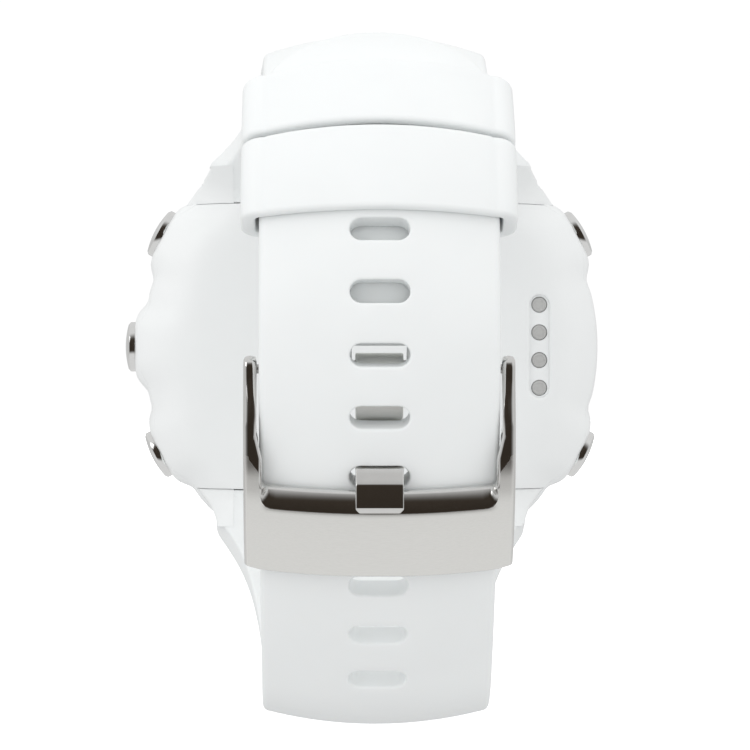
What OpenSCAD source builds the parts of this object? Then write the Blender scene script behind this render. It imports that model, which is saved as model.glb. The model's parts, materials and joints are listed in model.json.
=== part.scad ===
// Golf GPS watch, buckled: round polymer case with five side keys, moulded strap, pin buckle and two keepers.
// Origin: centre of the flat case back. +Y is the dial's outward normal, +Z points to 12 o'clock.

/* [Case] */
// Radius of the round case
case_r = 22.5; // [22:0.1:23]
// Thickness from the case back to the top of the bezel
case_h = 12.6; // [12.4:0.1:13]
// Radius of the flat part of the case back
back_flat_r = 16.4; // [16:0.1:17]
// Distance from the centre to each straight edge of the rear cover
cover_edge = 13.9; // [13.9:0.05:14]
// Radius of the round display window
window_r = 15; // [14:0.1:15.2]

/* [Keys] */
// Radius of a key cap
key_r = 2.45; // [2.2:0.05:2.5]
// Distance from the case centre to a key's outer face
key_out = 24.2; // [24:0.1:24.4]
// Travel of a key
key_travel = 0.5; // [0.3:0.1:0.5]
// Angle of the upper keys from the middle line
key_angle = 28.5; // [28:0.5:30]
// Angle of the lower keys from the middle line
lower_key_angle = 27; // [26:0.5:30]

/* [Strap] */
// Half width of the strap at the buckle
strap_half = 10; // [9.8:0.1:10]
// Half width of the strap's shoulders at the lugs
shoulder_half = 15.6; // [14.8:0.1:15.6]
// Distance between two adjustment slots
slot_pitch = 5.3; // [5.2:0.05:5.35]
// Number of adjustment slots
slot_count = 11; // [8:1:11]
// Width of a keeper along the strap
keeper_width = 7.8; // [7:0.1:8]

/* [Buckle] */
// Half width of the buckle frame
buckle_half = 11.15; // [11:0.05:11.3]
// Width of the buckle tongue
tongue_w = 4.1; // [3.8:0.1:4.2]

/* [Hidden] */
$fn = 64;
eps = 0.01;
fit = 0.05;

// Case levels, measured along +Y from the case back
cover_rim_h = 3.6;
mid_bottom = 3.7;
deck_h = 6.4;
well_h = 7.4;
mid_top = 10.6;
cavity_r = 18.4;
cavity_z = 12.2;
well_r = 18.4;
key_h = 6.7;
pocket_half = 13.4;
pocket_z = 14.2;
board_h = 5.3;
board_t = 0.8;
post_x = 9.6;
post_z = 10.75;

// Lug pins
pin_y = 3.2;
pin_z = 16.4;
lug_in = 13.4;
lug_z = 18.1;
lug_bar_r = 0.75;

// Keys: name order matches key_place
key_angles = [180 - key_angle, 180, 180 + lower_key_angle, key_angle, -lower_key_angle];
stem_r = 1.1;
stem_bore_r = 1.15;
key_wall_r = 18.2;
boss_r = 23.2;

// Side outline of the strap loop: the outward normal turns through these arcs, [radius, degrees] or [0, length]
loop_centre = [-23.5, 2];
tail_r = 26.5;
tail_tip_angle = 104;
long_moves = [[tail_r, 76], [28, 19], [65, 24], [11.3, 47], [0, 4.5], [31, 60], [8, 30]];
short_r = 23.95;
short_start_angle = 194.4;
short_moves = [[short_r, 86.4], [0, 8.35], [22, 18], [27, 50], [7, 40]];
tip_to_near = tail_r * 76 * PI / 180;
slot_first = tip_to_near - 18;
strap_t = 2.4;
end_t = 5.5;
lug_end_len = 3.7;

// Buckle pivot
pivot_r = 22.5;
pivot_angle = 191;
pivot = loop_centre + pivot_r * [cos(pivot_angle), sin(pivot_angle)];
bar_r = 0.75;
bar_half = 9.3;
tip_r = 0.4;
hub_r = 1.35;
arm_end_r = 1.15;
plate_from = tip_to_near + 15.6;
plate_to = tip_to_near + 23;
plate_gap = 0.15;

// ---------- planar helpers for the strap loop ----------

function normal(a) = [cos(a), sin(a)];
function tangent(a) = [-sin(a), cos(a)];
function move_length(m) = m[0] == 0 ? m[1] : m[0] * m[1] * PI / 180;
function total(moves, i = 0) = i == len(moves) ? 0 : move_length(moves[i]) + total(moves, i + 1);
// Position and normal angle after going s along one move
function go(p, a, m, s, way) =
    m[0] == 0 ? [p + way * s * tangent(a), a]
              : let (b = a + way * s / m[0] * 180 / PI) [p + m[0] * (normal(b) - normal(a)), b];
function walk(p, a, moves, s, way, i = 0) =
    (i == len(moves) - 1 || s <= move_length(moves[i]))
        ? go(p, a, moves[i], s, way)
        : let (q = go(p, a, moves[i], move_length(moves[i]), way))
              walk(q[0], q[1], moves, s - move_length(moves[i]), way, i + 1);
function blend(x) = let (c = min(1, max(0, x))) c * c * (3 - 2 * c);
function mix(a, b, x) = a + (b - a) * x;

long_len = total(long_moves);
short_len = total(short_moves);
function long_at(s) = walk(loop_centre + tail_r * normal(tail_tip_angle), tail_tip_angle, long_moves, s, 1);
function short_at(s) = walk(loop_centre + short_r * normal(short_start_angle), short_start_angle, short_moves, s, -1);

// Half width of either strap at distance d from its lug end
function flare(d) =
    strap_half + (shoulder_half - strap_half) * exp(-pow(max(0, d - lug_end_len) / 13, 1.2));
function tip_round(s) = s >= 9 ? 1 : sqrt(max(0.002, 1 - pow((9 - s) / 9, 2)));
function thick_to_lug(d) = mix(end_t, strap_t, blend((d - 2) / 22));
// Crown of the outer and inner faces, as the factor of x squared
function long_crown(s) = mix(0.018, 0.013, blend((s - 27) / 11));
function long_hollow(s) = s < 40 ? mix(0.016, 0.008, blend((s - 26) / 11)) : mix(0.008, 0.004, blend((s - 40) / 20));
function short_crown(s) = mix(0.0122, 0.0175, blend((s - 2) / 10.3));

// Closed cross-section [x, height along the normal], counter-clockwise, 18 points
function corner(cx, cy, r, from) = [for (i = [0:2]) [cx + r * cos(from + 45 * i), cy + r * sin(from + 45 * i)]];
function section(w, top, low, kt, kl, r) =
    let (q = w - r, ht = top - kt * q * q - r, hl = low - kl * q * q + r)
        concat(corner(q, ht, r, 0),
               [for (x = [0.5, 0, -0.5]) [x * q, top - kt * x * x * q * q]],
               corner(-q, ht, r, 90), corner(-q, hl, r, 180),
               [for (x = [-0.5, 0, 0.5]) [x * q, low - kl * x * x * q * q]],
               corner(q, hl, r, 270));
function place(q, pts) = [for (p = pts) [p[0], q[0][0] + p[1] * cos(q[1]), q[0][1] + p[1] * sin(q[1])]];

// Solid through a list of equal rings
module skin(rings, flip = false) {
    n = len(rings[0]);
    m = len(rings);
    pts = [for (r = rings) each r];
    side = [for (i = [0:m - 2]) for (j = [0:n - 1])
        let (a = i * n + j, b = i * n + (j + 1) % n, c = a + n, d = b + n)
            each (flip ? [[a, b, c], [b, d, c]] : [[a, c, b], [b, c, d]])];
    cap = [for (j = [0:n / 2 - 2]) each [[j, j + 1, n - 1 - j], [j + 1, n - 2 - j, n - 1 - j]]];
    far = (m - 1) * n;
    near_cap = [for (t = cap) flip ? [t[0], t[2], t[1]] : t];
    far_cap = [for (t = cap) (flip ? [t[0], t[1], t[2]] : [t[0], t[2], t[1]]) + [far, far, far]];
    polyhedron(pts, concat(side, near_cap, far_cap), convexity = 10);
}

// Tube through outer and inner rings of the same count
module tube_skin(outer, inner) {
    n = len(outer[0]);
    m = len(outer);
    k = n * m;
    pts = concat([for (r = outer) each r], [for (r = inner) each r]);
    outside = [for (i = [0:m - 2]) for (j = [0:n - 1])
        let (a = i * n + j, b = i * n + (j + 1) % n, c = a + n, d = b + n) each [[a, c, b], [b, c, d]]];
    inside = [for (i = [0:m - 2]) for (j = [0:n - 1])
        let (a = k + i * n + j, b = k + i * n + (j + 1) % n, c = a + n, d = b + n) each [[a, b, c], [b, d, c]]];
    ends = [for (j = [0:n - 1])
        let (a = j, b = (j + 1) % n, c = k + j, d = k + (j + 1) % n, e = (m - 1) * n)
            each [[a, b, c], [b, d, c], [a + e, c + e, b + e], [b + e, c + e, d + e]]];
    polyhedron(pts, concat(outside, inside, ends), convexity = 10);
}

// ---------- placing helpers ----------

// Children drawn along +Z stand on the case back and rise along +Y
module on_dial_axis() { rotate([-90, 0, 0]) children(); }
module at_station(q) { translate([0, q[0][0], q[0][1]]) rotate([q[1] - 90, 0, 0]) children(); }
module along_x(x0, x1, y, z) { translate([x0, y, z]) rotate([0, 90, 0]) linear_extrude(x1 - x0) children(); }
module rod(x0, x1, y, z, r) { translate([x0, y, z]) rotate([0, 90, 0]) cylinder(h = x1 - x0, r = r); }
module profile_x(pts, x0, x1) { translate([x0, 0, 0]) rotate([90, 0, 90]) linear_extrude(x1 - x0) polygon(pts); }
module slab(x, y, z) { translate([x[0], y[0], z[0]]) cube([x[1] - x[0], y[1] - y[0], z[1] - z[0]]); }
module both_ends() { children(); mirror([0, 0, 1]) children(); }
module both_sides() { children(); mirror([1, 0, 0]) children(); }
// A key's own axis: local +Z points out of the case
module key_place(angle) { translate([0, key_h, 0]) rotate([0, 90 - angle, 0]) children(); }
module strip(half) { slab([-40, 40], [-20, 40], [-half, half]); }
module ring(r1, r0, h0, h1) {
    on_dial_axis() translate([0, 0, h0]) difference() {
        cylinder(h = h1 - h0, r = r1);
        translate([0, 0, -1]) cylinder(h = h1 - h0 + 2, r = r0);
    }
}
module disc(r, h0, h1) { on_dial_axis() translate([0, 0, h0]) cylinder(h = h1 - h0, r = r); }

// ---------- case ----------

module lug() {
    // One of four: outer side slopes in towards its end
    z0 = cover_edge + fit;
    pts = [[lug_in, z0], [17.5, z0], [17, 14.5], [16, 16], [15.3, 17.1], [14.9, 17.8], [lug_in, lug_z]];
    translate([0, 0.5, 0]) rotate([90, 0, 0]) mirror([0, 0, 1]) linear_extrude(7.4) polygon(pts);
}

module key_boss(angle) {
    intersection() {
        key_place(angle) translate([0, 0, 19]) cylinder(h = boss_r - 19, r1 = 4.6, r2 = 3.1);
        slab([-30, 30], [mid_bottom, mid_top], [-30, 30]);
    }
}

module mid_case() {
    color("whitesmoke") difference() {
        union() {
            intersection() {
                on_dial_axis() rotate_extrude() polygon([
                    [0, mid_bottom], [case_r - 0.3, mid_bottom], [case_r, 5], [case_r, 8.2],
                    [case_r - 0.4, 9.6], [case_r - 1, mid_top], [0, mid_top]]);
                strip(20.2);
            }
            intersection() {
                disc(case_r - 0.5, 0.3, mid_bottom + 1);
                both_ends() slab([-30, 30], [-1, 8], [cover_edge + fit, 18]);
            }
            both_ends() both_sides() lug();
            for (a = key_angles) key_boss(a);
        }
        // electronics cavity and display well
        difference() {
            intersection() {
                disc(cavity_r, -1, well_h + eps);
                strip(cavity_z);
            }
            both_ends() both_sides() cover_post();
        }
        disc(well_r, well_h, mid_top + 1);
        // groove for the cover gasket
        intersection() {
            disc(20.3, mid_bottom - 1, 4.3);
            strip(13.3);
        }
        // strap pockets
        both_ends() slab([-pocket_half, pocket_half], [-2, deck_h], [pocket_z, 30]);
        // key bores, cap seats and inner pockets
        for (a = key_angles) key_place(a) {
            cylinder(h = 30, r = stem_bore_r);
            translate([0, 0, 22.35]) cylinder(h = 4, r = key_r + 0.12);
            translate([0, 0, 15]) cylinder(h = key_wall_r - 15, r = 2);
        }
        // lug screw holes and head recesses
        both_ends() {
            rod(-30, 30, pin_y, pin_z, 0.6);
            both_sides() rod(15.1, 22, pin_y, pin_z, 1.2);
        }
        both_ends() both_sides() post_hole();
    }
}

module cover_post() {
    translate([post_x, mid_bottom, post_z]) on_dial_axis() cylinder(h = 1.5, r = 1.5);
    slab([post_x - 1.2, post_x + 1.2], [mid_bottom, mid_bottom + 1.5], [post_z, cavity_z + 1]);
}
module post_hole() { translate([post_x, 2, post_z]) on_dial_axis() cylinder(h = 3, r = 0.72); }

module rear_cover() {
    color("whitesmoke") difference() {
        rear_cover_blank();
        // stadium seat of the charging contact insert
        contact_stadium(1.05, -1, 2);
        both_ends() both_sides() translate([post_x, 0, post_z]) on_dial_axis() {
            translate([0, 0, -1]) cylinder(h = 8, r = 0.85);
            translate([0, 0, -eps]) cylinder(h = 0.7, r1 = 1.5, r2 = 0.85);
        }
    }
}

module rear_cover_blank() {
    difference() {
        intersection() {
            on_dial_axis() rotate_extrude() difference() {
                union() {
                    square([back_flat_r, cover_rim_h]);
                    translate([back_flat_r - 1, 0]) polygon([
                        [0, 0], [1, 0], [2.9, 0.35], [4.5, 1.05], [5.7, 2.05], [6.4, 3], [6.75, cover_rim_h],
                        [0, cover_rim_h]]);
                }
                translate([-1, 1.3]) square([1, 5]);
            }
            strip(cover_edge);
        }
        intersection() {
            disc(cavity_r - 0.1, 1.3, 5);
            strip(cavity_z - 0.1);
        }
    }
    both_ends() both_sides() translate([post_x, 1, post_z]) on_dial_axis() cylinder(h = cover_rim_h - 1, r = 1.4);
}

contact_x = 16.4;
contact_pitch = 2.7;
module contact_stadium(r, h0, h1) {
    half = 1.5 * contact_pitch + 0.65;
    for (z = [-half, half]) translate([contact_x, 0, z]) on_dial_axis() translate([0, 0, h0]) cylinder(h = h1 - h0, r = r);
    slab([contact_x - r, contact_x + r], [h0, h1], [-half, half]);
}
module each_contact() { for (i = [-1.5:1:1.5]) translate([contact_x, 0, i * contact_pitch]) on_dial_axis() children(); }

module contact_insert() {
    color("gainsboro") difference() {
        contact_stadium(1, 0.45, 1.7);
        each_contact() translate([0, 0, -1]) cylinder(h = 6, r = 0.78);
    }
}
module charging_contacts() {
    color("silver") each_contact() {
        translate([0, 0, 0.3]) cylinder(h = 1.6, r = 0.75);
        translate([0, 0, 1.85]) cylinder(h = 2.4, r = 0.35);
    }
}

module cover_gasket() {
    color("dimgray") difference() {
        intersection() { disc(20.2, mid_bottom, 4.25); strip(13.2); }
        intersection() { disc(19.4, 0, 6); strip(12.6); }
    }
}

module cover_screws() {
    color("silver") both_ends() both_sides() translate([post_x, 0, post_z]) on_dial_axis() {
        difference() {
            translate([0, 0, 0.08]) cylinder(h = 0.6, r1 = 1.38, r2 = 0.75);
            translate([0, 0, -0.3]) cylinder(h = 0.7, r = 0.45, $fn = 6);
        }
        translate([0, 0, 0.6]) cylinder(h = 4.3, r = 0.68);
    }
}

module bezel_ring() {
    color("white") on_dial_axis() rotate_extrude() polygon([
        [16.2, mid_top + fit], [21.4, mid_top + fit], [21.2, 11.4], [20.2, 12.3], [19.4, case_h], [18.3, case_h],
        [17.75, 12.35], [17.75, 11.15], [16.2, 11.15]]);
}
module lens_gasket() { color("black") ring(17.5, 16.4, 11.16, 11.26); }
module lens() {
    color([0.75, 0.8, 0.85, 0.4]) on_dial_axis() rotate_extrude() polygon([
        [0, 11.27], [17.65, 11.27], [17.65, 12.2], [17.3, 12.45], [0, 12.5]]);
}
module display_panel() { color("black") disc(window_r, 9.4, 10.9); }
module backlight() { color("white") disc(window_r - 0.1, 8.75, 9.35); }
module display_frame() {
    color("dimgray") difference() {
        disc(16.6, well_h + fit, 10.55);
        disc(window_r + 0.15, 8.7, 11);
        slab([-4.3, 4.3], [5, 8.74], [-14.3, -9.8]);
    }
}
module display_flex() {
    color("orange") {
        slab([-4, 4], [8.45, 8.7], [-13.9, -10.2]);
        slab([-4, 4], [6.12, 8.45], [-11.6, -11.3]);
    }
}
module gps_antenna() {
    color("goldenrod") difference() {
        ring(18.25, 16.8, well_h + fit, 10.2);
        slab([-2, 2], [7, 11], [10, 20]);
        for (a = key_angles) rotate([0, -a, 0]) slab([15, 20], [7, 8.6], [-1.9, 1.9]);
    }
}
module main_board() {
    color("darkgreen") intersection() { disc(16.6, board_h, board_h + board_t); strip(11.8); }
}
module shield_can() { color("silver") slab([-6.5, 5.5], [6.12, 7.3], [1, 10]); }
module board_chips() {
    color([0.12, 0.12, 0.13]) {
        slab([-6, -1], [6.12, 7], [-7, -2]);
        slab([1, 5], [6.12, 7], [-5, -1]);
        slab([7.5, 10.5], [6.12, 6.9], [-1, 2]);
        slab([1.5, 3.5], [6.12, 6.8], [-8.8, -6.6]);
    }
}
module tact_switches() {
    color("silver") for (a = key_angles) rotate([0, -a, 0]) {
        slab([15.1, 16.5], [6.12, 7.3], [-1.6, 1.6]);
        slab([16.5, 16.7], [6.45, 6.95], [-0.6, 0.6]);
    }
}
module battery() { color("lightsteelblue") slab([-9.2, 9.2], [1.45, 5.1], [-9, 9]); }
module battery_lead() {
    color("red") slab([9.25, 9.85], [4.1, 5.25], [-3.2, -2.4]);
    color("black") slab([9.25, 9.85], [4.1, 5.25], [-1.6, -0.8]);
}
module vibration_motor() {
    color("silver") translate([-13.7, 0, 0]) on_dial_axis() {
        translate([0, 0, 1.5]) cylinder(h = 2.7, r = 3.3);
        translate([0, 0, 4.2]) cylinder(h = 0.4, r = 1.2);
    }
}

// ---------- keys ----------

module key(angle) {
    color("silver") key_place(angle) rotate_extrude() polygon([
        [0, 17.3], [0.9, 17.3], [stem_r, 17.5], [stem_r, 17.72], [0.7, 17.72], [0.7, 18.08], [stem_r, 18.08],
        [stem_r, 20.4], [0.7, 20.4], [0.7, 20.95], [stem_r, 20.95], [stem_r, 22.95], [key_r, 22.95],
        [key_r, 23.75], [key_r - 0.25, 24.05], [key_r - 0.7, key_out], [0, key_out]]);
}
module seal(angle) {
    color("black") key_place(angle) translate([0, 0, 20.68]) rotate_extrude() translate([0.92, 0]) circle(r = 0.2, $fn = 24);
}
module clip(angle) {
    color("gray") key_place(angle) translate([0, 0, 17.75]) difference() {
        cylinder(h = 0.3, r = 1.55);
        translate([0, 0, -1]) cylinder(h = 3, r = 0.74);
        translate([0, -0.55, -1]) cube([3, 1.1, 3]);
    }
}

// ---------- strap ----------

module strap_short() {
    stations = [for (i = [0:40]) short_len * i / 40];
    color("white") difference() {
            skin(flip = true, rings = [for (s = stations) let (d = short_len - s, q = short_at(s))
                place(q, section(flare(d), 0, -mix(thick_to_lug(d), 2.8, d > 30 ? 1 : 0),
                                 short_crown(s) * mix(0.5, 1, blend(d / 14)), 0.002 * blend(d / 14), 0.45))]);
        // slot for the tongue and bores for the pins
        at_station([pivot, pivot_angle]) translate([-tongue_w / 2 - 0.2, -2.2, -4]) cube([tongue_w + 0.4, 6, 8]);
        rod(-20, 20, pivot[0], pivot[1], bar_r + 0.1);
        rod(-20, 20, pin_y, pin_z, lug_bar_r + 0.05);
        between_lugs();
    }
}

// What the lugs take from the strap's shoulders
module between_lugs() { both_sides() slab([pocket_half - 0.15, 30], [-9, 12], [8, lug_z + 0.1]); }

module strap_slot() {
    r = 0.98;
    for (x = [-1.52, 1.52]) translate([x, 0, -6]) cylinder(h = 9, r = r);
    translate([-1.52, -r, -6]) cube([3.04, 2 * r, 9]);
}

module strap_long() {
    stations = concat([0.05, 0.4, 1, 2, 3.4, 5, 7], [for (i = [0:58]) 9 + (long_len - 9) * i / 58]);
    color("white") difference() {
        skin([for (s = stations) let (d = long_len - s, q = long_at(s), w = flare(d) * tip_round(s))
            place(q, section(w, 0, -(s < 12 ? mix(1.5, strap_t, blend(s / 12)) : thick_to_lug(d)),
                             long_crown(s) * mix(0.4, 1, blend(d / 14)), long_hollow(s) * blend(d / 14),
                             min(0.45, w * 0.45)))]);
        for (i = [0:slot_count - 1]) at_station(long_at(slot_first + i * slot_pitch)) strap_slot();
        rod(-20, 20, pin_y, -pin_z, lug_bar_r + 0.05);
        mirror([0, 0, 1]) between_lugs();
    }
}

module lug_bars() {
    color("silver") both_ends() difference() {
        rod(-13.2, 13.2, pin_y, pin_z, lug_bar_r);
        both_sides() rod(9, 14, pin_y, pin_z, 0.48);
    }
}
module lug_screws() {
    color("silver") both_ends() both_sides() difference() {
        union() {
            rod(9.6, 15.2, pin_y, pin_z, 0.45);
            rod(15.15, 15.85, pin_y, pin_z, 1.12);
        }
        translate([15.5, pin_y, pin_z]) rotate([0, 90, 0]) cylinder(h = 1, r = 0.5, $fn = 6);
    }
}

// A keeper loops round both strap layers from angle to angle of the loop's near arc
module keeper(from, gap) {
    wall = 0.85;
    sweep = keeper_width / 27 * 180 / PI;
    angles = [for (i = [0:6]) from + sweep * i / 6];
    base = [for (f = angles) [loop_centre + tail_r * normal(180 - f), 180 - f]];
    top = gap;
    low = -(tail_r - short_r) - 2.8 - gap;
    // soft outer edges: the first and last outer rings are pulled in
    pull = [0.35, 0.08, 0, 0, 0, 0.08, 0.35];
    color("white") tube_skin(
        [for (i = [0:6]) place(base[i], section(strap_half + 0.45 + wall - pull[i], top + wall + 0.15 - pull[i],
                                               low - wall + pull[i], 0.02, 0.002, 2))],
        [for (q = base) place(q, section(strap_half + 0.15, top, low, 0.018, 0.002, 0.35))]);
}
keeper_fixed_from = 19.5;
keeper_free_from = keeper_fixed_from + keeper_width / 27 * 180 / PI + 1.4;
module keeper_fixed() { keeper(keeper_fixed_from, 0.06); }
module keeper_free() { keeper(keeper_free_from, 0.12); }

// ---------- buckle ----------

function on_long(s, n) = let (q = long_at(s)) q[0] + n * normal(q[1]);

module buckle_frame() {
    // plate profile along the strap: [distance, outer height]
    steps = [[0, 0.55], [0.5, 0.85], [1.6, 1.75], [2.2, 1.85], [4, 1.7], [6, 1.4], [7.2, 1.1], [7.4, 0.9]];
    arm_from = plate_from - 0.2;
    outer = pivot + arm_end_r * normal(205);
    inner = pivot + arm_end_r * normal(25);
    color("silver") difference() {
        union() {
            skin([for (p = steps) let (q = long_at(plate_from + p[0]))
                place(q, section(buckle_half, p[1], plate_gap, 0.0125, 0.0125, 0.12))]);
            both_sides() {
                profile_x([outer, on_long(tip_to_near + 9.5, -0.6), on_long(tip_to_near + 13, 0.9), on_long(plate_from + 2, 1.4),
                           on_long(plate_to - 0.3, -0.7), on_long(plate_to - 1, -1.4), on_long(arm_from, -2.6),
                           on_long(tip_to_near + 9.5, -3.2), inner], strap_half + 0.2, buckle_half);
                rod(strap_half + 0.2, buckle_half, pivot[0], pivot[1], arm_end_r);
            }
        }
        both_sides() rod(strap_half - 1, strap_half + 1.05, pivot[0], pivot[1], tip_r + fit);
    }
}

module buckle_tongue() {
    top_n = -strap_t - 0.22;
    slot_s = slot_first + 6 * slot_pitch;
    pts = concat(
        [pivot + hub_r * normal(200)],
        [for (s = [6.4, 9, 11.6]) on_long(tip_to_near + s, top_n)],
        [on_long(slot_s - 0.62, top_n), on_long(slot_s - 0.62, 0.35), on_long(slot_s, 1.55), on_long(slot_s + 1.6, 2.35),
         on_long(slot_s + 3.1, 2.75), on_long(slot_s + 3.7, 2.5), on_long(slot_s + 3.6, 2), on_long(slot_s + 2.4, 1.5),
         on_long(slot_s + 0.55, 0.55), on_long(slot_s + 0.55, -2.6), on_long(slot_s - 0.1, -3.55)],
        [for (s = [11.6, 9.5, 7.5]) on_long(tip_to_near + s, top_n - 1.1)],
        [pivot + hub_r * normal(20)]);
    color("silver") difference() {
        union() {
            profile_x(pts, -tongue_w / 2, tongue_w / 2);
            rod(-tongue_w / 2, tongue_w / 2, pivot[0], pivot[1], hub_r);
        }
        rod(-5, 5, pivot[0], pivot[1], bar_r + 0.05);
    }
}

module spring_bar_tube() {
    color("silver") difference() {
        rod(-bar_half, bar_half, pivot[0], pivot[1], bar_r);
        rod(-bar_half - 1, bar_half + 1, pivot[0], pivot[1], tip_r + 0.03);
        both_sides() rod(4, bar_half - 0.5, pivot[0], pivot[1], 0.58);
    }
}
// Sprung tip: a thin nose through the tube's mouth, a collar that stops it inside and a stem in the spring
module spring_bar_tip() {
    color("silver") {
        rod(6.5, 7.9, pivot[0], pivot[1], 0.3);
        rod(7.7, 10.95, pivot[0], pivot[1], tip_r);
        rod(7.7, bar_half - 0.55, pivot[0], pivot[1], 0.54);
    }
}
module spring_bar_spring() {
    turns = 6;
    color("gray") both_sides() for (i = [0:turns - 1])
        translate([4.3 + i * 0.44, pivot[0], pivot[1]]) rotate([0, 90, 0]) rotate_extrude() translate([0.45, 0]) circle(r = 0.09, $fn = 16);
}

mid_case();
rear_cover();
cover_gasket();
cover_screws();
bezel_ring();
lens();
lens_gasket();
display_panel();
backlight();
display_frame();
display_flex();
gps_antenna();
main_board();
shield_can();
board_chips();
tact_switches();
battery();
battery_lead();
vibration_motor();
contact_insert();
charging_contacts();
key(key_angles[0]);  // key_upper_a
key(key_angles[1]);  // key_middle_a
key(key_angles[2]);  // key_lower_a
key(key_angles[3]);  // key_upper_b
key(key_angles[4]);  // key_lower_b
seal(key_angles[0]);  // seal_upper_a
seal(key_angles[1]);  // seal_middle_a
seal(key_angles[2]);  // seal_lower_a
seal(key_angles[3]);  // seal_upper_b
seal(key_angles[4]);  // seal_lower_b
clip(key_angles[0]);  // clip_upper_a
clip(key_angles[1]);  // clip_middle_a
clip(key_angles[2]);  // clip_lower_a
clip(key_angles[3]);  // clip_upper_b
clip(key_angles[4]);  // clip_lower_b
strap_short();
strap_long();
lug_bars();
lug_screws();
keeper_fixed();
keeper_free();
buckle_frame();
buckle_tongue();
spring_bar_tube();
mirror([1, 0, 0]) spring_bar_tip();  // spring_bar_tip_a
spring_bar_tip();  // spring_bar_tip_b
spring_bar_spring();
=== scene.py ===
import bpy
import bmesh
import json
import math
import numpy as np
from mathutils import Matrix, Vector
from mathutils.geometry import delaunay_2d_cdt


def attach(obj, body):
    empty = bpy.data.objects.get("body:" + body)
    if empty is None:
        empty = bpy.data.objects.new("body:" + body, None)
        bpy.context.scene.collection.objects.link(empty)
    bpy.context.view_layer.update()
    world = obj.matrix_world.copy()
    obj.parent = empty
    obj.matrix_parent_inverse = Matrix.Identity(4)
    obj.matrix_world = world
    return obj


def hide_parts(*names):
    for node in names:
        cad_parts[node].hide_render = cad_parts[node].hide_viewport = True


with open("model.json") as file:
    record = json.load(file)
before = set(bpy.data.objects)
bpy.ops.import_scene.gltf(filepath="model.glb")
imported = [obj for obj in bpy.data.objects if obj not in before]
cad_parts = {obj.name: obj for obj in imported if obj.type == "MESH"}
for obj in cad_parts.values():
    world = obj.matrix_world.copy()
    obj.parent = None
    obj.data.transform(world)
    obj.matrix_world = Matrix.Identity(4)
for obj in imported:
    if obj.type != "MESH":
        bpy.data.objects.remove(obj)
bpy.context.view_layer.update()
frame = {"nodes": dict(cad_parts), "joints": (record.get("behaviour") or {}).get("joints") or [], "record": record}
MM = 0.001

# ---------------------------------------------------------------- materials


def tree(name):
    mat = bpy.data.materials.new(name)
    mat.use_nodes = True
    nt = mat.node_tree
    nt.nodes.clear()
    out = nt.nodes.new("ShaderNodeOutputMaterial")
    bsdf = nt.nodes.new("ShaderNodeBsdfPrincipled")
    nt.links.new(bsdf.outputs["BSDF"], out.inputs["Surface"])
    return mat, nt, bsdf


def add(nt, kind, **values):
    node = nt.nodes.new(kind)
    for key, value in values.items():
        if hasattr(node, key):
            setattr(node, key, value)
        else:
            node.inputs[key.replace("_", " ")].default_value = value
    return node


def object_coords(nt, scale=(1, 1, 1)):
    coords = nt.nodes.new("ShaderNodeTexCoord")
    mapping = nt.nodes.new("ShaderNodeMapping")
    mapping.inputs["Scale"].default_value = scale
    nt.links.new(coords.outputs["Object"], mapping.inputs["Vector"])
    return mapping.outputs["Vector"]


def noise(nt, vector, scale, detail=3.0, rough=0.6):
    n = add(nt, "ShaderNodeTexNoise", Scale=scale, Detail=detail, Roughness=rough)
    nt.links.new(vector, n.inputs["Vector"])
    return n.outputs["Fac"]


def ramp(nt, fac, low, high, a=0.35, b=0.65):
    r = nt.nodes.new("ShaderNodeValToRGB")
    r.color_ramp.elements[0].position = a
    r.color_ramp.elements[0].color = (*low, 1)
    r.color_ramp.elements[1].position = b
    r.color_ramp.elements[1].color = (*high, 1)
    nt.links.new(fac, r.inputs["Fac"])
    return r.outputs["Color"]


def spread(nt, fac, low, high):
    m = nt.nodes.new("ShaderNodeMapRange")
    m.inputs["To Min"].default_value = low
    m.inputs["To Max"].default_value = high
    nt.links.new(fac, m.inputs["Value"])
    return m.outputs["Result"]


def bump(nt, bsdf, fac, strength, distance):
    b = add(nt, "ShaderNodeBump", Strength=strength, Distance=distance)
    nt.links.new(fac, b.inputs["Height"])
    nt.links.new(b.outputs["Normal"], bsdf.inputs["Normal"])


def moulded(name, colour, vary=0.012, rough=(0.4, 0.5), grain=9000, depth=0.00001, strength=0.25, soft=0.0):
    """Moulded polymer or rubber: faint cloudy tone, fine grain."""
    mat, nt, bsdf = tree(name)
    v = object_coords(nt)
    cloud = noise(nt, v, 140, 2)
    nt.links.new(ramp(nt, cloud, [c - vary for c in colour], colour), bsdf.inputs["Base Color"])
    fine = noise(nt, v, grain, 2)
    nt.links.new(spread(nt, fine, *rough), bsdf.inputs["Roughness"])
    bump(nt, bsdf, fine, strength, depth)
    if soft:
        bsdf.inputs["Subsurface Weight"].default_value = soft
        bsdf.inputs["Subsurface Radius"].default_value = (1.0, 0.95, 0.9)
        bsdf.inputs["Subsurface Scale"].default_value = 0.0015
    return mat


def metal(name, colour, rough, stretch=(1, 1, 1), grain=2500, depth=0.000004, strength=0.15, vary=0.05, tint=None):
    mat, nt, bsdf = tree(name)
    bsdf.inputs["Metallic"].default_value = 1.0
    lines = noise(nt, object_coords(nt, stretch), grain, 3, 0.7)
    low = tint or [max(0, c - vary) for c in colour]
    nt.links.new(ramp(nt, lines, low, colour, 0.3, 0.7), bsdf.inputs["Base Color"])
    nt.links.new(spread(nt, lines, *rough), bsdf.inputs["Roughness"])
    bump(nt, bsdf, lines, strength, depth)
    return mat


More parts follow.
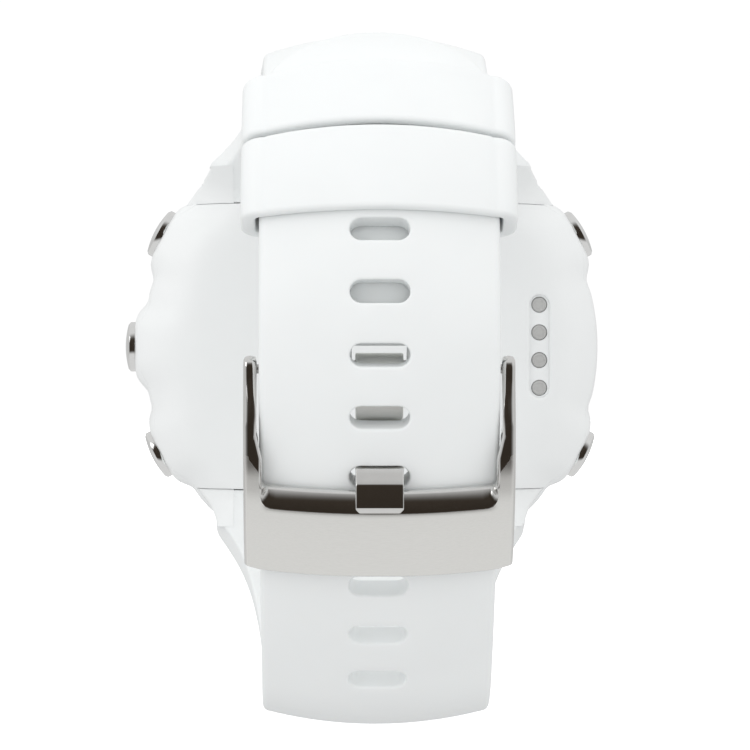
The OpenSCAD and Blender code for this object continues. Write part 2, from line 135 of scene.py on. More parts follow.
WHITE = (0.87, 0.885, 0.885)
case_white = moulded("case_white", WHITE, rough=(0.3, 0.42), grain=12000, depth=0.000006)
bezel_white = moulded("bezel_white", (0.89, 0.9, 0.9), rough=(0.16, 0.24), grain=9000, depth=0.000003, strength=0.1)
strap_white = moulded("strap_white", (0.88, 0.9, 0.9), rough=(0.46, 0.58), grain=14000, depth=0.00001, soft=0.12)
insert_white = moulded("insert_white", (0.87, 0.885, 0.885), rough=(0.4, 0.5))
brushed = metal("buckle_brushed", (0.9, 0.895, 0.865), (0.26, 0.36), (1, 14, 14), 1100, 0.000004, 0.22, 0.05)
polished = metal("buckle_polished", (0.76, 0.755, 0.74), (0.035, 0.07), (1, 1, 1), 900, 0.000002, 0.05, 0.03)
key_chrome = metal("key_chrome", (0.84, 0.84, 0.83), (0.05, 0.09), (1, 1, 1), 900, 0.000002, 0.05, 0.03)
pin_steel = metal("pin_steel", (0.52, 0.51, 0.5), (0.2, 0.3), (1, 12, 12), 1500, 0.000003, 0.2, 0.06)
spring_steel = metal("spring_steel", (0.5, 0.5, 0.5), (0.2, 0.28), (1, 1, 1), 4000)
contact_metal = moulded("contact_plate", (0.5, 0.5, 0.49), 0.03, (0.3, 0.4), 6000, 0.000003)
seal_black = moulded("seal_black", (0.03, 0.03, 0.03), 0.01, (0.5, 0.6))
display_black = moulded("display_black", (0.012, 0.012, 0.015), 0.004, (0.08, 0.12), 3000, 0.000001, 0.05)
diffuser = moulded("diffuser_white", (0.8, 0.8, 0.78), 0.02, (0.25, 0.35))
inner_black = moulded("inner_black", (0.05, 0.05, 0.055), 0.015, (0.45, 0.6), 6000)
gold = metal("antenna_gold", (0.72, 0.52, 0.26), (0.18, 0.28), (1, 1, 1), 3000)
can_metal = metal("can_metal", (0.62, 0.62, 0.63), (0.28, 0.4), (1, 1, 1), 3000)
foil = metal("cell_foil", (0.55, 0.58, 0.62), (0.3, 0.42), (1, 4, 1), 900, 0.00001, 0.3)
chip_black = moulded("chip_black", (0.03, 0.03, 0.033), 0.008, (0.4, 0.55), 8000)
flex_amber = moulded("flex_amber", (0.5, 0.22, 0.04), 0.05, (0.2, 0.3), 3000)


def board():
    mat, nt, bsdf = tree("board_green")
    v = object_coords(nt)
    bricks = add(nt, "ShaderNodeTexVoronoi", feature="DISTANCE_TO_EDGE", Scale=900)
    nt.links.new(v, bricks.inputs["Vector"])
    nt.links.new(ramp(nt, bricks.outputs["Distance"], (0.06, 0.26, 0.1), (0.015, 0.12, 0.045), 0.02, 0.08),
                 bsdf.inputs["Base Color"])
    nt.links.new(spread(nt, noise(nt, v, 2500), 0.2, 0.35), bsdf.inputs["Roughness"])
    return mat


def lens_glass():
    mat, nt, bsdf = tree("lens_glass")
    bsdf.inputs["Transmission Weight"].default_value = 1.0
    bsdf.inputs["IOR"].default_value = 1.48
    v = object_coords(nt)
    nt.links.new(ramp(nt, noise(nt, v, 60), (0.97, 0.98, 0.98), (1, 1, 1)), bsdf.inputs["Base Color"])
    nt.links.new(spread(nt, noise(nt, v, 4000), 0.0, 0.02), bsdf.inputs["Roughness"])
    return mat


board_green = board()
glass = lens_glass()

looks = {
    "case_polymer": case_white, "bezel_polymer": bezel_white, "strap_rubber": strap_white, "key_metal": key_chrome,
    "buckle_metal": polished, "pin_steel": pin_steel, "spring_steel": spring_steel, "contact_metal": contact_metal,
    "seal_rubber": seal_black, "insert_polymer": insert_white, "lens_glass": glass, "display_black": display_black,
    "diffuser": diffuser, "inner_polymer": inner_black, "antenna_plating": gold, "board_green": board_green,
    "can_metal": can_metal, "chip_black": chip_black, "cell_foil": foil, "flex_polyimide": flex_amber,
}
node_slot = {s["node"]: s["material_slot"] for s in frame["record"]["subparts"]}
for name, obj in frame["nodes"].items():
    obj.data.materials.clear()
    obj.data.materials.append(looks[node_slot[name]])

# ---------------------------------------------------------------- mesh tools


class Mesh:
    """Collects vertices in millimetres and faces with a material number."""

    def __init__(self):
        self.verts, self.faces, self.mats = [], [], []

    def vert(self, p):
        self.verts.append(p)
        return len(self.verts) - 1

    def face(self, f, mat=0):
        self.faces.append(f)
        self.mats.append(mat)

    def rows(self, grid, closed_u=True, closed_v=False, mat=0):
        """Quads between consecutive rows of vertex numbers."""
        m = len(grid)
        for i in range(m if closed_v else m - 1):
            a, b = grid[i], grid[(i + 1) % m]
            n = len(a)
            for j in range(n if closed_u else n - 1):
                k = (j + 1) % n
                self.face((a[j], a[k], b[k], b[j]), mat(i, j) if callable(mat) else mat)

    def build(self, name, mats, body, nodes=(), sharp=50, weld=2e-6):
        me = bpy.data.meshes.new(name)
        me.from_pydata([tuple(c * MM for c in p) for p in self.verts], [], self.faces)
        for m in mats:
            me.materials.append(m)
        me.polygons.foreach_set("material_index", self.mats)
        bm = bmesh.new()
        bm.from_mesh(me)
        bmesh.ops.remove_doubles(bm, verts=bm.verts, dist=weld)
        bmesh.ops.dissolve_degenerate(bm, dist=1e-7, edges=bm.edges)
        bmesh.ops.delete(bm, geom=[v for v in bm.verts if not v.link_faces], context="VERTS")
        bmesh.ops.recalc_face_normals(bm, faces=bm.faces)
        for e in bm.edges:
            a = [f.material_index for f in e.link_faces]
            e.smooth = len(a) != 2 or (a[0] == a[1] and e.calc_face_angle(0) < math.radians(sharp))
        for f in bm.faces:
            f.smooth = True
        bm.to_mesh(me)
        bm.free()
        obj = bpy.data.objects.new(name, me)
        bpy.context.scene.collection.objects.link(obj)
        w = obj.modifiers.new("normals", "WEIGHTED_NORMAL")
        w.keep_sharp = True
        w.weight = 60
        if nodes:
            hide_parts(*nodes)
        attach(obj, body)
        return obj


def inside(points, loops):
    """Even-odd test of many points against closed loops."""
    odd = np.zeros(len(points), bool)
    x, y = points[:, 0], points[:, 1]
    for loop in loops:
        p = np.asarray(loop)
        q = np.roll(p, -1, 0)
        for (ax, ay), (bx, by) in zip(p, q):
            if ay == by:
                continue
            hit = (ay > y) != (by > y)
            odd ^= hit & (x < (bx - ax) * (y - ay) / (by - ay) + ax)
    return odd


class Loop:
    """A closed outline in the sheet's plane, with the direction out of the material and the rim at each point."""

    def __init__(self, points, rim, hole=False, flat=()):
        p = np.asarray(points, float)
        d = np.roll(p, -1, 0) - np.roll(p, 1, 0)
        d /= np.maximum(np.hypot(d[:, 0], d[:, 1]), 1e-9)[:, None]
        x, y = p[:, 0], p[:, 1]
        turn = np.sum(x * np.roll(y, -1) - np.roll(x, -1) * y)
        sign = 1 if turn > 0 else -1
        n = np.stack([d[:, 1], -d[:, 0]], 1) * sign
        if hole:
            n = -n
        for i, value in flat:
            n[i] = value
        self.p, self.n = p, n
        rim = np.asarray(rim, float)
        self.rim = np.tile(rim, (len(p), 1)) if rim.ndim == 1 else rim
        self.inset = p - n * self.rim[:, :1]


def sheet(mesh, loops, fill, top, low, place, steps=4, skip=lambda p, q: False, mats=(0, 0, 0), profile="round",
          clear=0.45):
    """A closed plate between heights top and low over a plane region, with rolled rims, laid out by place."""
    flat, edges = [], []
    for l in loops:
        base, n = len(flat), len(l.p)
        flat += [tuple(v) for v in l.inset]
        edges += [(base + i, base + (i + 1) % n) for i in range(n)]
    border = np.array(flat)
    fill = np.asarray(fill, float)
    if len(fill):
        fill = fill[inside(fill, [l.inset for l in loops])]
        far = np.full(len(fill), np.inf)
        for chunk in range(0, len(border), 200):
            b = border[chunk:chunk + 200]
            far = np.minimum(far, np.hypot(fill[:, 0, None] - b[None, :, 0], fill[:, 1, None] - b[None, :, 1]).min(1))
        fill = fill[far > clear]
        flat += [tuple(v) for v in fill]
    pts, _, tris, source = delaunay_2d_cdt([Vector(p) for p in flat], edges, [], 1, 1e-7)[:4]
    where = {}
    for k, s in enumerate(source):
        for i in s:
            where[i] = k
    pts = np.array([tuple(p) for p in pts])
    centre = np.array([pts[list(t)].mean(0) for t in tris])
    keep = inside(centre, [l.inset for l in loops])
    upper = [mesh.vert(place(u, v, top(u, v))) for u, v in pts]
    lower = [mesh.vert(place(u, v, low(u, v))) for u, v in pts]
    for t, k, c in zip(tris, keep, centre):
        if k:
            mesh.face([upper[i] for i in t], mats[0](*c) if callable(mats[0]) else mats[0])
            mesh.face([lower[i] for i in reversed(t)], mats[2])
    base = 0
    for l in loops:
        n = len(l.p)
        rows = [[upper[where[base + i]] for i in range(n)]]
        for side in (0, 1):
            for k in (range(1, steps + 1) if side == 0 else range(steps, 0, -1)):
                a = math.pi / 2 * k / steps
                grow, drop = 1 - math.sin(a), 1 - math.cos(a)
                if profile == "bevel":
                    grow, drop = 0.3 * grow + 0.7 * (1 - k / steps), 0.3 * drop + 0.7 * k / steps
                row = []
                for (u, v), (nu, nv), (w, d) in zip(l.p, l.n, l.rim):
                    if side:
                        w, d = min(w, 0.3), min(d, 0.3)
                    uu, vv = u - nu * w * grow, v - nv * w * grow
                    h = low(uu, vv) + d * drop if side else top(uu, vv) - d * drop
                    row.append(mesh.vert(place(uu, vv, h)))
                rows.append(row)
        rows.append([lower[where[base + i]] for i in range(n)])
        for i in range(len(rows) - 1):
            for j in range(n):
                k = (j + 1) % n
                if skip(l.p[j], l.p[k]):
                    continue
                mesh.face((rows[i][j], rows[i][k], rows[i + 1][k], rows[i + 1][j]),
                          mats[1](*l.p[j]) if callable(mats[1]) else mats[1])
        base += n


def grid(u0, u1, v0, v1, step):
    nu, nv = max(2, round((u1 - u0) / step)), max(2, round((v1 - v0) / step))
    return [(u0 + (u1 - u0) * i / nu, v0 + (v1 - v0) * j / nv) for i in range(nu + 1) for j in range(nv + 1)]


def trace(corners, step=0.6, close=True):
    """Points along straight sides, evenly spaced."""
    out = []
    n = len(corners)
    for i in range(n if close else n - 1):
        a, b = np.array(corners[i], float), np.array(corners[(i + 1) % n], float)
        k = max(1, round(float(np.hypot(*(b - a))) / step))
        out += [tuple(a + (b - a) * j / k) for j in range(k)]
    if not close:
        out.append(tuple(corners[-1]))
    return out


def rounded(corners, radius, seg=5):
    """A polygon with its corners rounded; radius may be one number or one per corner."""
    out = []
    n = len(corners)
    for i in range(n):
        r = radius[i] if isinstance(radius, (list, tuple)) else radius
        p, a, b = (np.array(corners[k], float) for k in (i, i - 1, (i + 1) % n))
        if r <= 0:
            out.append(tuple(p))
            continue
        u, v = (a - p) / np.linalg.norm(a - p), (b - p) / np.linalg.norm(b - p)
        half = math.acos(max(-1, min(1, float(u @ v)))) / 2
        cut = min(r / math.tan(half), 0.45 * np.linalg.norm(a - p), 0.45 * np.linalg.norm(b - p))
        s, e = p + u * cut, p + v * cut
        for k in range(seg + 1):
            t = k / seg
            out.append(tuple((1 - t) ** 2 * s + 2 * t * (1 - t) * p + t * t * e))
    return out


def circle(cx, cy, r, n=32, a0=0.0):
    turns = [a0 + 2 * math.pi * k / n for k in range(n)]
    return [(cx + r * math.cos(a), cy + r * math.sin(a)) for a in turns]


def stadium(cx, cy, half, r, along_v=False, n=10):
    pts = [(half + r * math.cos(a), r * math.sin(a)) for a in np.linspace(-math.pi / 2, math.pi / 2, n)]
    pts += [(-half - r * math.cos(a), r * math.sin(a)) for a in np.linspace(math.pi / 2, -math.pi / 2, n)]
    k = max(1, round(2 * half / 0.5))
    bottom = [(-half + 2 * half * i / k, -r) for i in range(1, k)]
    upper = [(half - 2 * half * i / k, r) for i in range(1, k)]
    pts = pts[:n] + upper + pts[n:] + bottom
    return [(cx + (b if along_v else a), cy + (a if along_v else b)) for a, b in pts]


def lathe(mesh, profile, place, n=64, mat=0):
    """Turned form from (radius, height) points; ends on the axis are closed with one point."""
    rings = []
    for r, h in profile:
        if r < 1e-6:
            rings.append([mesh.vert(place(0, 0, h))])
        else:
            rings.append([mesh.vert(place(x, y, h)) for x, y in circle(0, 0, r, n)])
    for a, b in zip(rings, rings[1:]):
        for j in range(n):
            k = (j + 1) % n
            if len(a) == 1 and len(b) == 1:
                continue
            if len(a) == 1:
                mesh.face((a[0], b[j], b[k]), mat)
            elif len(b) == 1:
                mesh.face((a[j], a[k], b[0]), mat)
            else:
                mesh.face((a[j], a[k], b[k], b[j]), mat)


def soften(points, step=0.12, seg=4):
    """Small rounds on a lathe profile's inner corners."""
    out = [points[0]]
    for a, p, b in zip(points, points[1:], points[2:]):
        a, p, b = (np.array(q, float) for q in (a, p, b))
        la, lb = np.linalg.norm(a - p), np.linalg.norm(b - p)
        c = min(step, 0.45 * la, 0.45 * lb)
        s, e = p + (a - p) / la * c, p + (b - p) / lb * c
        out += [tuple((1 - t) ** 2 * s + 2 * t * (1 - t) * p + t * t * e) for t in np.linspace(0, 1, seg + 1)]
    out.append(points[-1])
    return out


def ease(x):
    c = min(1.0, max(0.0, x))
    return c * c * (3 - 2 * c)


def mix(a, b, x):
    return a + (b - a) * x


# ---------------------------------------------------------------- strap outline


class Path:
    """The strap's side outline: an outward normal that turns through arcs (radius, degrees) or runs (0, length)."""

    def __init__(self, centre, radius, angle, moves, way):
        self.way, self.legs, s = way, [], 0.0
        a = math.radians(angle)
        p = (centre[0] + radius * math.cos(a), centre[1] + radius * math.sin(a))
        for r, v in moves:
            length = v if r == 0 else r * math.radians(v)
            self.legs.append((s, length, r, p, a))
            p, a = self.go(r, p, a, length)
            s += length
        self.length = s

    def go(self, r, p, a, d):
        if r == 0:
            return (p[0] - self.way * d * math.sin(a), p[1] + self.way * d * math.cos(a)), a
        b = a + self.way * d / r
        return (p[0] + r * (math.cos(b) - math.cos(a)), p[1] + r * (math.sin(b) - math.sin(a))), b

    def at(self, s):
        leg = next((l for l in self.legs if s <= l[0] + l[1]), self.legs[-1])
        p, a = self.go(leg[2], leg[3], leg[4], min(s, self.length) - leg[0])
        return self.go(0, p, a, s - self.length) if s > self.length else (p, a)

    def place(self, x, s, n):
        (y, z), a = self.at(s)
        return x, y + n * math.cos(a), z + n * math.sin(a)


CENTRE = (-23.5, 2.0)
TAIL_R, SHORT_R = 26.5, 23.95
long_path = Path(CENTRE, TAIL_R, 104, [(TAIL_R, 76), (28, 19), (65, 24), (11.3, 47), (0, 4.5), (31, 60), (8, 30)], 1)
short_path = Path(CENTRE, SHORT_R, 194.4, [(SHORT_R, 86.4), (0, 8.35), (22, 18), (27, 50), (7, 40)], -1)
NEAR = TAIL_R * math.radians(76)
PITCH, FIRST = 5.3, NEAR - 18
HALF, END_T, STRAP_T = 10.0, 6.0, 2.4
BACK_Z, LUG_Z = 13.9, 17.5


def flare(d, extra=5.8):
    return HALF + extra * math.exp(-max(0.0, (d - 5.2) / 7.8) ** 1.1)


def end_thickness(d):
    return mix(END_T, STRAP_T, ease((d - 2) / 22))


def blend_to_lug(x, d):
    """The strap's inner face falls away at its shoulders as the lugs beside it do."""
    return 3.6 * max(0.0, (math.hypot(x, 14) - 16) / 6.15) ** 2.6 * (1 - ease((d - 3) / 12))


def long_crown(s):
    return mix(0.018, 0.013, ease((s - 27) / 11)) * ease((long_path.length - s) / 14)


def lip(d):
    """The end of a strap swells to fill the slot under the case edge."""
    return 0.55 * (1 - ease(d / 1.5))


def long_top(x, s):
    return lip(long_path.length - s) - 0.02 - long_crown(s) * x * x


def long_low(x, s):
    d = long_path.length - s
    t = mix(1.5, STRAP_T, ease(s / 12)) if s < 12 else end_thickness(d)
    k = mix(0.016, 0.008, ease((s - 26) / 11)) if s < 40 else mix(0.008, 0.004, ease((s - 40) / 20))
    return -t - k * ease(d / 14) * x * x + blend_to_lug(x, d)


def short_top(x, s):
    d = short_path.length - s
    return lip(d) - 0.02 - mix(0.0122, 0.0175, ease((s - 2) / 10.3)) * ease(d / 14) * x * x


def short_low(x, s):
    d = short_path.length - s
    t = mix(end_thickness(d), 2.8, ease((d - 24) / 6))
    return -t - 0.002 * ease(d / 14) * x * x + blend_to_lug(x, d)


def strap_back(x, z):
    """Y of a strap's inner face level with the lugs, so that the lugs carry the same surface on."""
    path, low = (short_path, short_low) if z > 0 else (long_path, long_low)
    near, far = -2.0, 14.0
    for _ in range(20):
        d = (near + far) / 2
        y, level = path.place(x, path.length - d, low(x, path.length - d))[1:]
        near, far = (d, far) if abs(level) < abs(z) else (near, d)
    return y


def cut(obj, boxes=(), rods=()):
    """Takes boxes (x0, x1, y0, y1, z0, z1) and rods along X (x0, x1, y, z, r) out of a piece."""
    bm = bmesh.new()
    for x0, x1, y0, y1, z0, z1 in boxes:
        m = Matrix.LocRotScale(Vector(((x0 + x1) / 2, (y0 + y1) / 2, (z0 + z1) / 2)) * MM, None,
                               Vector((x1 - x0, y1 - y0, z1 - z0)) * MM)
        bmesh.ops.create_cube(bm, size=1, matrix=m)
    for x0, x1, y, z, r in rods:
        m = Matrix.Translation(Vector(((x0 + x1) / 2, y, z)) * MM) @ Matrix.Rotation(math.pi / 2, 4, "Y")
        bmesh.ops.create_cone(bm, cap_ends=True, segments=40, radius1=r * MM, radius2=r * MM, depth=(x1 - x0) * MM,
                              matrix=m)
    me = bpy.data.meshes.new("cutter")
    bm.to_mesh(me)
    bm.free()
    tool = bpy.data.objects.new("cutter", me)
    bpy.context.scene.collection.objects.link(tool)
    mod = obj.modifiers.new("cut", "BOOLEAN")
    mod.operation, mod.solver, mod.object = "DIFFERENCE", "EXACT", tool
    while obj.modifiers[0] != mod:
        bpy.context.view_layer.objects.active = obj
        bpy.ops.object.modifier_move_up(modifier=mod.name)
    bpy.context.view_layer.objects.active = obj
    bpy.ops.object.modifier_apply(modifier=mod.name)
    bpy.data.objects.remove(tool)
    bpy.data.meshes.remove(me)
    bm = bmesh.new()
    bm.from_mesh(obj.data)
    bmesh.ops.remove_doubles(bm, verts=bm.verts, dist=3e-6)
    bmesh.ops.dissolve_degenerate(bm, dist=1e-6, edges=bm.edges)
    for e in bm.edges:
        e.smooth = len(e.link_faces) != 2 or e.calc_face_angle(0) < math.radians(38)
    for f in bm.faces:
        f.smooth = True
    bm.to_mesh(obj.data)
    bm.free()


SLOT_HALF, SLOT_R = 1.52, 0.98
LONG_REACH, SHORT_REACH = 0.38, 0.29
SPLIT, HAIR = 13.34, 0.004
BAR_Y, BAR_Z = 3.2, 16.4  # the lug bars and their screws
CONTACT_X, CONTACT_PITCH = 16.4, 2.7
hinge = next(j for j in frame["joints"] if j["name"] == "buckle_swing")
PIVOT = (hinge["pos_m"][1] / MM, hinge["pos_m"][2] / MM)


def strap_long():
    length = long_path.length + LONG_REACH
    right = [(flare(length - s, 5.1), s) for s in np.arange(length, 12, -0.7)]
    tip = [(HALF * math.cos(a), 11.8 - 10.5 * math.sin(a)) for a in np.linspace(0, math.pi, 49)]
    left = [(-x, s) for x, s in reversed(right)]
    end = [(x, length) for x in np.linspace(-right[0][0], right[0][0], 40)[1:-1]]
    pts = right + tip + left + end
    outline = Loop(pts, [(0.45, 0.45) if s < length - 0.5 else (0.1, 0.1) for x, s in pts])
    loops = [outline] + [Loop(stadium(0, FIRST + i * PITCH, SLOT_HALF, SLOT_R), (0.22, 0.22), hole=True)
                         for i in range(11)]
    m = Mesh()
    fill = grid(-15.4, 15.4, 0.2, length - 0.2, 0.75)
    sheet(m, loops, fill, long_top, long_low, long_path.place)
    obj = m.build("strap_long_skin", [strap_white], "watch", ["strap_long"], sharp=70)
    cut(obj, [(SPLIT, 30, -9, 12, -LUG_Z - HAIR, -8), (-30, -SPLIT, -9, 12, -LUG_Z - HAIR, -8)],
        [(-20, 20, BAR_Y, -BAR_Z, 0.8)])
    return obj


def strap_short():
    length = short_path.length + SHORT_REACH
    w = 2.3
    right = [(flare(length - s), s) for s in np.arange(length, 1.9, -0.7)]
    corner = 1.4
    right += [(HALF - corner + corner * math.cos(a), corner - corner * math.sin(a))
              for a in np.linspace(0, math.pi / 2, 8)]
    notch = [(x, 0) for x in np.linspace(HALF - 2, w + 0.7, 9)] + [(w, s) for s in np.arange(0, 3.4, 0.6)]
    notch += [(w, 3.6)] + [(x, 3.6) for x in np.linspace(w - 0.5, -w + 0.5, 8)] + [(-w, 3.6)]
    notch += [(-w, s) for s in np.arange(3.0, -0.1, -0.6)] + [(x, 0) for x in np.linspace(-w - 0.7, 2 - HALF, 9)]
    left = [(-x, s) for x, s in reversed(right)]
    end = [(x, length) for x in np.linspace(-right[0][0], right[0][0], 40)[1:-1]]
    pts = right + notch + left + end
    m = Mesh()
    outline = Loop(pts, [(0.45, 0.45) if s < length - 0.5 else (0.1, 0.1) for x, s in pts])
    fill = grid(-15.9, 15.9, 0.2, length - 0.2, 0.8)
    sheet(m, [outline], fill, short_top, short_low, short_path.place)
    obj = m.build("strap_short_skin", [strap_white], "watch", ["strap_short"], sharp=70)
    cut(obj, [(SPLIT, 30, -9, 12, 8, LUG_Z + HAIR), (-30, -SPLIT, -9, 12, 8, LUG_Z + HAIR)])
    cut(obj, rods=[(-20, 20, BAR_Y, BAR_Z, 0.8)])
    cut(obj, rods=[(-10.6, 10.6, *PIVOT, 0.85)])
    return obj


strap_long()
strap_short()


def keeper(name, node, body, start, gap, crown, width=7.8, wall=0.9):
    """A rubber band round both strap layers, with rolled lips."""
    s_mid = NEAR - TAIL_R * math.radians(start) - width / 2 * TAIL_R / 27
    half, top, low = HALF + 0.32, gap, -(TAIL_R - SHORT_R) - 2.8 - gap
    r = 0.75
    ht = top - crown * (half - r) ** 2

    def arc(cx, cy, a0, a1, k=8):
        turns = np.linspace(a0, a1, k)
        return [(cx + r * math.cos(a), cy + r * math.sin(a), math.cos(a), math.sin(a)) for a in turns]
    q = half - r
    inner = arc(q, ht - r, 0, math.pi / 2)
    for x in np.linspace(q, -q, 34)[1:-1]:
        slope = math.atan(2 * crown * x)
        inner.append((x, top - crown * x * x, math.sin(slope), math.cos(slope)))
    inner += arc(-q, ht - r, math.pi / 2, math.pi)
    inner += arc(-q, low + r, math.pi, 1.5 * math.pi)
    inner += [(x, low, 0, -1) for x in np.linspace(-q, q, 26)[1:-1]]
    inner += arc(q, low + r, 1.5 * math.pi, 2 * math.pi)
    lip = 0.4
    band = rounded([(-width / 2, 0), (width / 2, 0), (width / 2, wall), (-width / 2, wall)],
                   [0.2, 0.2, lip, lip], 5)
    dense = []
    for a, b in zip(band, band[1:] + band[:1]):
        k = max(1, int(math.dist(a, b) / 0.7))
        dense += [(a[0] + (b[0] - a[0]) * i / k, a[1] + (b[1] - a[1]) * i / k) for i in range(k)]
    m = Mesh()
    rows = []
    for x, n, nx, nn in inner:
        row = []
        for a, b in dense:
            row.append(m.vert(long_path.place(x + b * 1.38 * nx, s_mid + a, n + b * nn)))
        rows.append(row)
    m.rows(rows, True, True)
    return m.build(name, [strap_white], body, [node], sharp=70)


keeper("keeper_fixed_band", "keeper_fixed", "watch", 19.5, 0.06, 0.018)
keeper("keeper_free_band", "keeper_free", "keeper", 19.5 + 7.8 / 27 * 180 / math.pi + 1.4, 0.12, 0.0185)

# ---------------------------------------------------------------- case


def rim_radius(theta):
    return 22.1 + swell(theta, 3.65)


def dome(x, z):
    """Height of the case back above the wrist plane: a flat disc that rolls off to a rim which follows the bosses."""
    r = math.hypot(x, z)
    return 0.0 if r < 16 else 3.45 * ((r - 16) / (rim_radius(math.atan2(z, x)) - 16)) ** 2.6


POST = (9.6, 10.75)


def rear_cover():
    r = 22.1
    a = math.asin(BACK_Z / r)
    arcs = []
    for mid in (0, math.pi):
        arcs.append([])
        for t in np.linspace(-a, a, 81):
            q = min(rim_radius(mid + t), BACK_Z / max(1e-6, abs(math.sin(t))))
            arcs[-1].append((q * math.cos(mid + t), q * math.sin(mid + t)))
    x = r * math.cos(a)
    pts = arcs[0] + trace([(x, BACK_Z), (-x, BACK_Z)], 0.6, False)[1:-1] + arcs[1]
    pts += trace([(-x, -BACK_Z), (x, -BACK_Z)], 0.6, False)[1:-1]
    loops = [Loop(pts, (0.05, 0.05)), Loop(stadium(CONTACT_X, 0, 1.5 * CONTACT_PITCH, 0.97, True), (0.34, 0.2), hole=True)]
    for sx in (-1, 1):
        for sz in (-1, 1):
            loops.append(Loop(circle(POST[0] * sx, POST[1] * sz, 0.85, 28), (0.62, 0.62), hole=True))
    fill = []
    radii = list(np.arange(1.2, 15, 1.2)) + list(np.arange(15.3, 20, 0.5)) + list(np.arange(20.2, 23.2, 0.3))
    for q in radii:
        n = max(8, int(2 * math.pi * q / (1.2 if q < 15 else 0.9)))
        fill += circle(0, 0, q, n, 0.01 * q)
    m = Mesh()

    def low(u, v):
        return -1.3 - 2.3 * ease((max(math.hypot(u, v) - 18.2, abs(v) - 11.9)) / 0.5 + 1)
    sheet(m, loops, fill, lambda u, v: -dome(u, v), low, lambda u, v, h: (u, -h, v), clear=0.3)
    return m.build("rear_cover_shell", [case_white], "watch", ["rear_cover"], sharp=60)


KEY_Y, KEY_R = 6.7, 2.45
key_joints = {j["child"]: j["axis"] for j in frame["joints"] if j["name"].startswith("key_")}
KEY_ANGLES = {b: math.atan2(-a[2], -a[0]) for b, a in key_joints.items()}


def flank(y):
    ys = [3.65, 4.2, 5.0, 6.6, 8.2, 9.0, 9.6, 10.2, 10.6]
    rs = [22.15, 22.38, 22.47, 22.48, 22.44, 22.3, 22.08, 21.75, 21.45]
    return float(np.interp(y, ys, rs))


def swell(theta, y):
    """How far the key bosses and their scooped surrounds stand out of the round flank."""
    out = 0.0
    for a in KEY_ANGLES.values():
        d = abs((theta - a + math.pi) % (2 * math.pi) - math.pi) * 22.5
        if d > 9:
            continue
        near = math.hypot(d, (y - KEY_Y) * 0.8)
        out += 0.8 * (1 - ease((near - 2.7) / 2.2))
        out -= 0.14 * math.exp(-((d - 4.6) / 0.9) ** 2) * math.exp(-((y - 6.2) / 3.2) ** 2)
    return out


def mid_case():
    m = Mesh()
    R = 22.5
    start = math.pi / 2
    span = 2 * math.pi * R
    gap = math.radians(36.5) * R

    def theta(u):
        return start - u / R
    corners = [(0, 10.6), (0, 6.42), (gap, 6.42), (gap, 3.65), (span / 2 - gap, 3.65), (span / 2 - gap, 6.42),
               (span / 2 + gap, 6.42), (span / 2 + gap, 3.65), (span - gap, 3.65), (span - gap, 6.42),
               (span, 6.42), (span, 10.6)]
    pts = trace(corners, 0.55)
    flat = []
    for i, (u, v) in enumerate(pts):
        if u < 1e-6 or u > span - 1e-6:
            if abs(v - 10.6) < 1e-6:
                flat.append((i, (0, 1)))
            elif abs(v - 6.42) < 1e-6:
                flat.append((i, (0, -1)))
            else:
                flat.append((i, (0, 0)))
    loops = [Loop(pts, [(0.05, 0.05) if v < 4 else (0.2, 0.2) for u, v in pts], flat=flat)]
    for a in KEY_ANGLES.values():
        u = ((start - a) % (2 * math.pi)) * R
        loops.append(Loop(circle(u, KEY_Y, KEY_R + 0.12, 44), (0.18, 0.18), hole=True))

    def low(u, v):
        c = abs(math.cos(theta(u)))
        if v > 6.5 or c < 1e-3:
            return 18.4
        return max(18.4, min(21.9, 13.5 / c)) if abs(math.sin(theta(u))) > 0.6 else 18.4

    def place(u, v, h):
        t = theta(u)
        return h * math.cos(t), v, h * math.sin(t)
    fill = grid(0.3, span - 0.3, 3.9, 10.4, 0.5)
    sheet(m, loops, fill, lambda u, v: flank(v) + swell(theta(u), v), low, place,
          skip=lambda p, q: (p[0] < 1e-6 and q[0] < 1e-6) or (p[0] > span - 1e-6 and q[0] > span - 1e-6), clear=0.3)
    ring = m.build("mid_case_ring", [case_white], "watch", ["mid_case"], sharp=60, weld=4e-6)
    lugs = Mesh()
    z0, x0 = BACK_Z + 0.05, SPLIT + HAIR
    upper = [(18.1, z0), (17.6, 14.6), (16.8, 15.6), (15.9, 16.8), (15.45, LUG_Z)]
    lower = [(16.9, z0), (16.4, 14.6), (15.6, 15.6), (15.15, 16.7), (14.95, LUG_Z)]
    for sx in (-1, 1):
        for sz in (-1, 1):
            corners = [(x0, z0)] + (upper if sz > 0 else lower) + [(x0, LUG_Z)]
            pts = trace(rounded(corners, [0, 0, 0.9, 0.9, 0.9, 0, 0], 5), 0.35)
            rims = [(HAIR, HAIR) if x < x0 + 0.05 or z < z0 + 0.05 or z > LUG_Z - 0.05 else (0.4, 0.3)
                    for x, z in pts]
            sheet(lugs, [Loop([(x * sx, z * sz) for x, z in pts], rims)],
                  [(x * sx, z * sz) for x, z in grid(13.5, 18, 14.1, 18, 0.35)],
                  lambda u, v: -strap_back(u, v), lambda u, v: -7.6,
                  lambda u, v, h: (u, -h, v), clear=0.2)
    lug = lugs.build("mid_case_lugs", [case_white], "watch", ["mid_case"], sharp=60)
    cut(lug, rods=[(14.9 if sx > 0 else -22, 22 if sx > 0 else -14.9, 3.4, BAR_Z * sz, 1.0) for sx in (-1, 1)
                   for sz in (-1, 1)])
    cut(lug, rods=[(-20, 20, BAR_Y, BAR_Z * sz, 0.6) for sz in (-1, 1)])
    return ring, lug


rear_cover()
mid_case()


